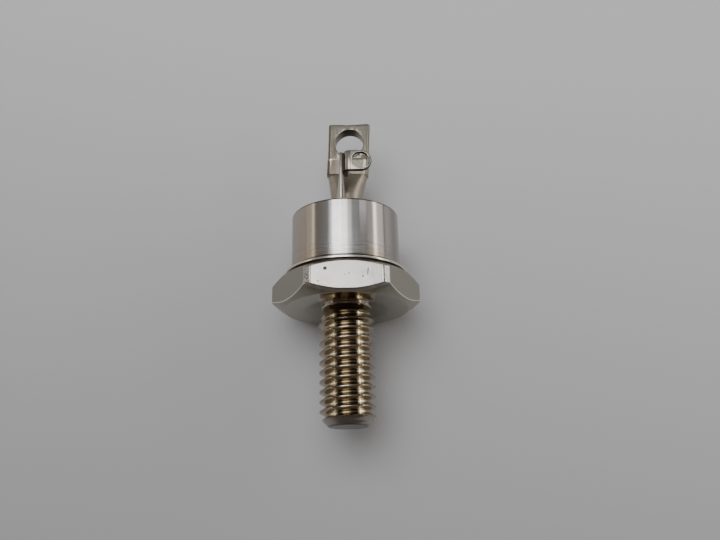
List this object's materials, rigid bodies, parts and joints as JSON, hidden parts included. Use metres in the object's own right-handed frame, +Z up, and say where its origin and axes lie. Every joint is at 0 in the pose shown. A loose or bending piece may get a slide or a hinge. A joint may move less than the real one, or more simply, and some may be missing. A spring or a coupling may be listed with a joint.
{
  "type": "stud-mount controlled rectifier",
  "caption": "Stud-mount controlled rectifier in a welded metal case on a hexagon base, with a flattened tube terminal and a small gate lug, lying on one flat.",
  "frame": {"origin": "centre of the seating face under the hexagon, on the stud's axis", "axes": "+Y along the stud's axis towards the terminals, -Y towards the stud's tip, +Z up, at right angles to the hexagon flat that the part lies on; the gate lug is on the +Z side"},
  "size_m": [0.0158, 0.0352, 0.014],
  "materials": {
    "nickel_plated_base": "nickel plating over copper, satin on the flats and brownish in the thread",
    "ring_steel": "plain steel, brazed in",
    "nickel_plated_case": "bright nickel with fine turned rings",
    "seal_glass": "grey-green sealing glass, smooth",
    "nickel_plated_terminal": "warm nickel, slightly stained",
    "nickel_plated_gate": "nickel, drawn lengthways",
    "bright_lug": "bright nickel, sheared edges",
    "solder": "dull soft solder",
    "molybdenum": "lapped grey molybdenum",
    "silicon": "dark lapped silicon",
    "coating": "soft pale silicone",
    "lead_copper": "bare stranded copper",
    "wire_metal": "drawn silvery wire"
  },
  "bodies": {
    "root": {"stud_base": "nickel_plated_base", "weld_ring": "ring_steel", "case_shell": "nickel_plated_case", "glass_seal": "seal_glass", "main_terminal": "nickel_plated_terminal", "gate_stem": "nickel_plated_gate", "gate_lug": "bright_lug", "base_solder": "solder", "anode_disc": "molybdenum", "silicon_pellet": "silicon", "junction_coating": "coating", "cathode_solder": "solder", "cathode_disc": "molybdenum", "inner_lead": "lead_copper", "lead_solder": "solder", "gate_solder": "solder", "gate_wire": "wire_metal", "wire_solder": "solder"}
  },
  "joints": []
}
